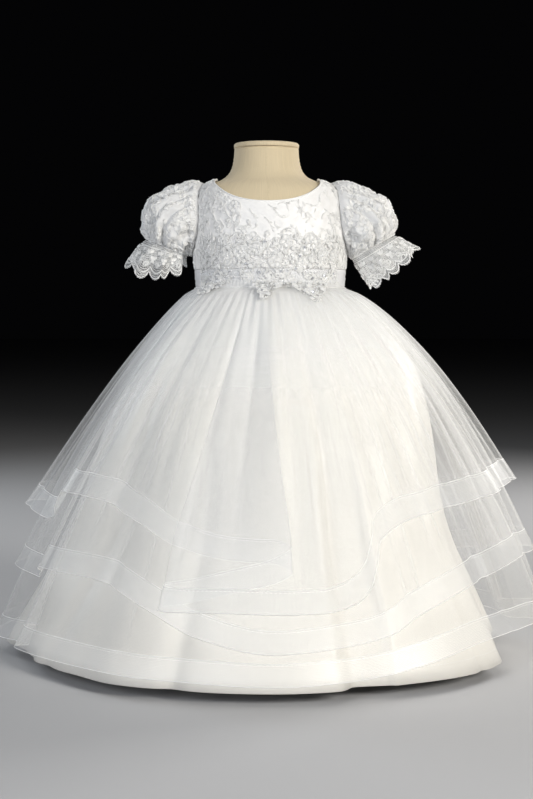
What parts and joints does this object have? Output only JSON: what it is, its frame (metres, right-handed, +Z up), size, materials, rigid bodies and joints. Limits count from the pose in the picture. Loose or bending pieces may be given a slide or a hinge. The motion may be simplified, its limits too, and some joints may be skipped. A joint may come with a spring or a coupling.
{
  "type": "christening gown on a dress form",
  "caption": "Short-sleeved infant christening gown with lace bodice and layered net skirts, worn by a limbless linen dress form on a low stand.",
  "frame": {"origin": "centre of the stand's round base, on the floor", "axes": "+Z up, -Y towards the gown's front, +X towards the right as seen from the front"},
  "size_m": [0.6007, 0.5795, 0.5575],
  "materials": {
    "lace": "corded floral lace with a little sheen",
    "satin": "soft satin sheen",
    "net": "fine sheer net",
    "braid": "stiff open braid with a slight gloss",
    "linen": "matt woven linen over padding",
    "stand": "satin grey paint"
  },
  "bodies": {
    "root": {"bodice_front": "lace", "bodice_back_left": "lace", "bodice_back_right": "lace", "sleeve_left": "lace", "sleeve_right": "lace", "cuff_left_front": "lace", "cuff_left_back": "lace", "cuff_right_front": "lace", "cuff_right_back": "lace", "waist_applique": "lace", "waistband": "satin", "underskirt_front": "satin", "underskirt_back": "satin", "button_1": "satin", "button_2": "satin", "button_3": "satin", "button_4": "satin", "tier_1_front": "net", "tier_1_back": "net", "tier_2_front": "net", "tier_2_back": "net", "tier_3_front": "net", "tier_3_back": "net", "braid_1_front": "braid", "braid_1_back": "braid", "braid_2_front": "braid", "braid_2_back": "braid", "braid_3_front": "braid", "braid_3_back": "braid", "form_torso": "linen", "form_neck_cap": "linen", "form_pole": "stand", "form_base": "stand"}
  },
  "joints": []
}
